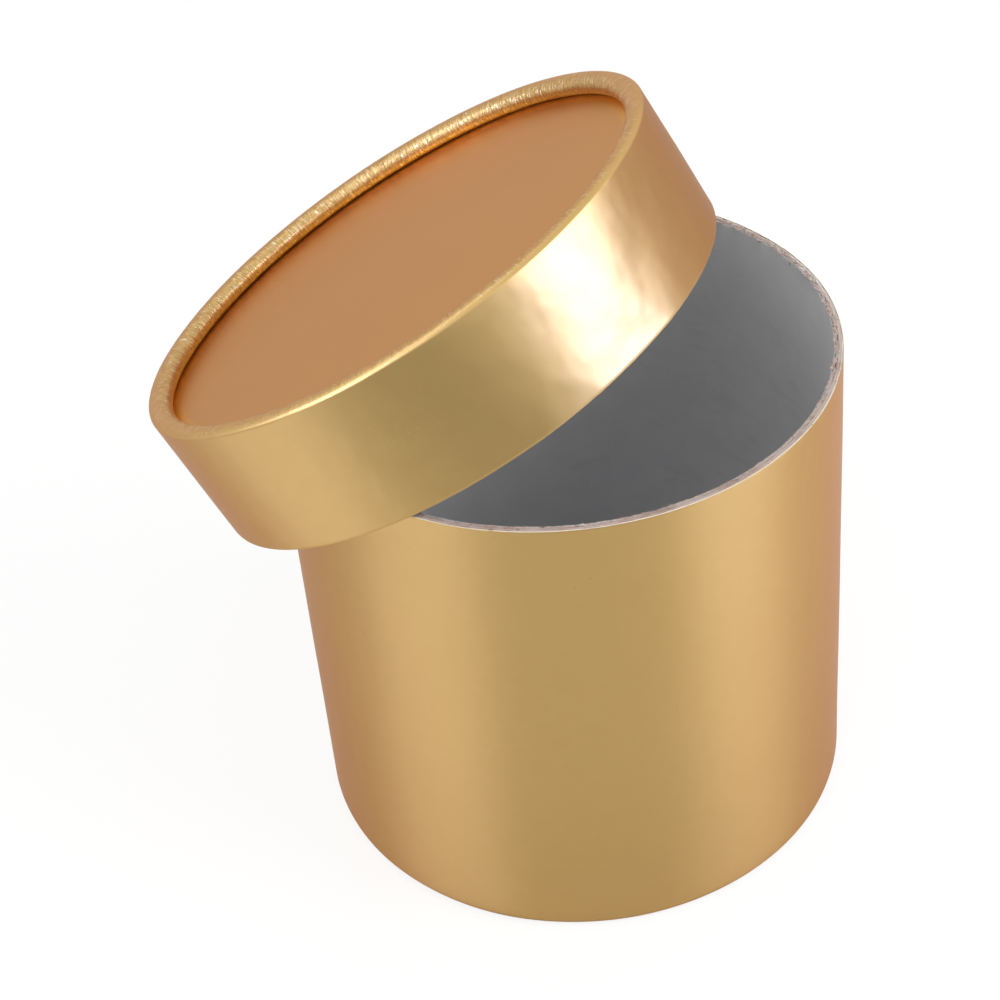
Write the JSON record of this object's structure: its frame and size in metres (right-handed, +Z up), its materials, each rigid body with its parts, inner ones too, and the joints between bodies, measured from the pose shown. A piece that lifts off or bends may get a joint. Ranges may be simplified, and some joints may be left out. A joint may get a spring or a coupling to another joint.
{
  "type": "round flower box",
  "caption": "Round paperboard flower box in gold foil paper, with a rolled foot and a slip-over lid with a rolled bead, leaning on the open rim.",
  "frame": {"origin": "on the plane that the foot stands on, below the middle of the whole object's bounding box, lid included; the box's own axis stands at x = 18.00 mm, y = -8.42 mm", "axes": "+Z up along the box's axis; -Y towards the viewer of the picture; the lid slopes down towards -X and slightly +Y"},
  "size_m": [0.196, 0.1768, 0.2186],
  "materials": {
    "gold_foil_paper": "satin metallic gold foil laminate",
    "copper_toned_foil_paper": "matte metallic foil laminate, a little redder than the walls'",
    "raw_paperboard": "raw, with a torn fibrous cut edge",
    "grey_lining_paper": "matte, with fine dark specks"
  },
  "bodies": {
    "box": {"box_foil_wrap": "gold_foil_paper", "box_tube": "raw_paperboard", "base_underside_foil": "gold_foil_paper", "base_board": "raw_paperboard", "box_inner_sleeve": "raw_paperboard", "box_wall_liner": "grey_lining_paper", "base_floor_paper": "grey_lining_paper"},
    "lid": {"lid_foil_wrap": "gold_foil_paper", "lid_tube": "raw_paperboard", "lid_top_foil": "copper_toned_foil_paper", "lid_top_board": "raw_paperboard", "lid_top_liner": "grey_lining_paper", "lid_wall_liner": "grey_lining_paper"}
  },
  "joints": [
    {"name": "lid_lift", "type": "slide", "parent": "box", "child": "lid", "axis": [0, 0, 1], "range_m": [0, 0.08]}
  ]
}
